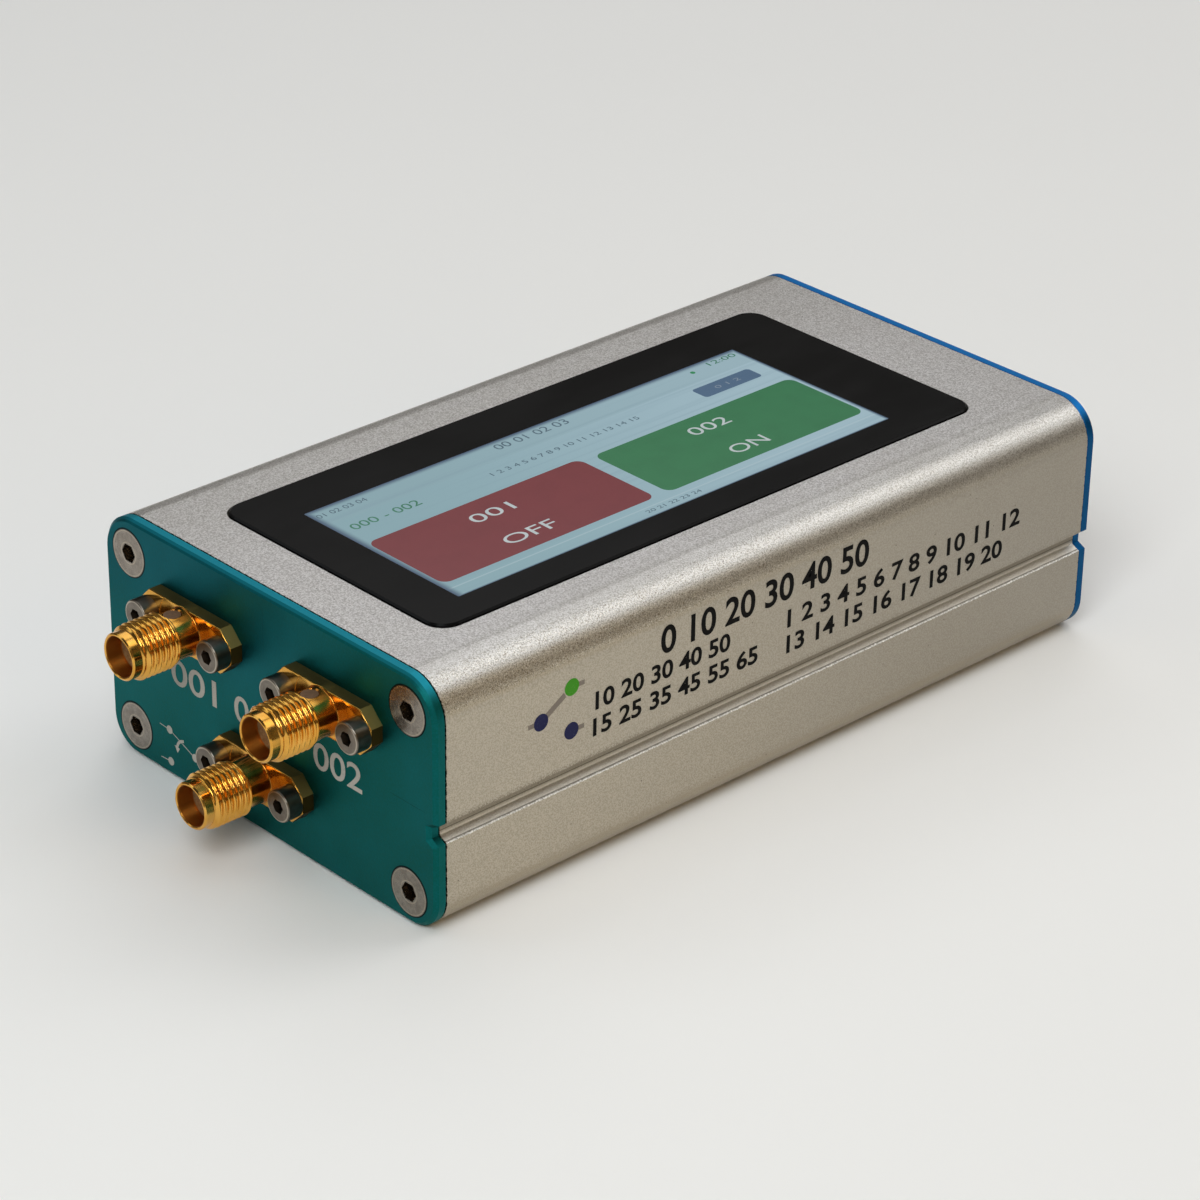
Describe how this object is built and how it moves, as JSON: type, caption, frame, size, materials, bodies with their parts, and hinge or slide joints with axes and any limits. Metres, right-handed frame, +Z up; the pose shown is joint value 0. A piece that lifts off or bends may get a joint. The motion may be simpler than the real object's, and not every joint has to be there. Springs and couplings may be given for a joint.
{
  "type": "coaxial antenna switch",
  "caption": "Box-shaped coaxial antenna switch with a touchscreen in its top, threaded coaxial ports on one end plate and a network socket in the other.",
  "frame": {"origin": "centre of the case's base face", "axes": "+X along the case from the port plate to the socket plate, +Y across it, +Z up through the screen"},
  "size_m": [0.1118, 0.055, 0.0298],
  "materials": {
    "silver_anodised": "bead-blasted, clear anodised",
    "teal_anodised": "teal anodised",
    "blue_anodised": "blue anodised",
    "stainless": "plain stainless steel",
    "gold": "gold-plated brass",
    "gold_contact": "gold plated",
    "brass_spacer": "plain brass",
    "nickel": "nickel plated",
    "ptfe": "white, waxy",
    "resin": "cured resin",
    "cover_glass": "black-backed cover glass",
    "adhesive_tape": "black foam tape",
    "clear_film": "clear film",
    "lcd_glass": "display panel",
    "acrylic": "clear acrylic",
    "polyimide": "amber flexible circuit",
    "foam": "closed-cell foam",
    "board_laminate": "solder-masked glass-fibre laminate",
    "module_laminate": "black solder mask",
    "tinned_steel": "tin-plated sheet",
    "chip_black": "moulded epoxy",
    "chip_ceramic": "ceramic chip",
    "header_plastic": "black moulded",
    "connector_plastic": "ivory moulded",
    "ribbon": "white flat cable",
    "jack_plastic": "black moulded",
    "led_lens": "tinted indicator",
    "winding_tape": "yellow tape over copper",
    "ferrite": "sintered ferrite",
    "capacitor_can": "bare can",
    "plunger_plastic": "red moulded"
  },
  "bodies": {
    "case": {"top_shell": "silver_anodised", "bottom_shell": "silver_anodised", "front_plate": "teal_anodised", "rear_plate": "blue_anodised", "front_plate_screws": "stainless", "rear_plate_screws": "stainless", "sma_body_1": "gold", "sma_body_2": "gold", "sma_body_3": "gold", "sma_dielectric_1": "ptfe", "sma_dielectric_2": "ptfe", "sma_dielectric_3": "ptfe", "sma_contact_1": "gold_contact", "sma_contact_2": "gold_contact", "sma_contact_3": "gold_contact", "sma_resin_plugs": "resin", "sma_flange_screws": "stainless", "flange_screw_nuts": "nickel", "rf_board_spacers": "brass_spacer", "rf_board": "board_laminate", "rf_shield_can": "tinned_steel", "rf_switch_chip": "chip_black", "rf_capacitors": "chip_ceramic", "board_header": "header_plastic", "board_header_pins": "gold_contact", "main_board": "board_laminate", "cover_glass": "cover_glass", "glass_adhesive": "adhesive_tape", "touch_film": "clear_film", "lcd_panel": "lcd_glass", "light_guide": "acrylic", "backlight_tray": "tinned_steel", "lcd_flex": "polyimide", "foam_pads": "foam", "controller_board": "board_laminate", "controller_module": "module_laminate", "controller_module_can": "tinned_steel", "board_ffc": "ribbon", "ffc_connectors": "connector_plastic", "rj45_housing": "jack_plastic", "rj45_shield": "tinned_steel", "rj45_contacts": "gold_contact", "rj45_leds": "led_lens", "poe_transformer_bobbin": "header_plastic", "poe_transformer_winding": "winding_tape", "poe_transformer_core": "ferrite", "power_inductor": "ferrite", "bulk_capacitors": "capacitor_can", "poe_controller_chip": "chip_black", "ethernet_chip": "chip_black", "rectifier_bridges": "chip_black", "reset_switch_body": "header_plastic"},
    "reset_button": {"reset_plunger": "plunger_plastic"}
  },
  "joints": [
    {"name": "reset_press", "type": "slide", "parent": "case", "child": "reset_button", "axis": [-1, 0, 0], "range_m": [0, 0.00025], "stiffness_N_per_m": 4000}
  ]
}
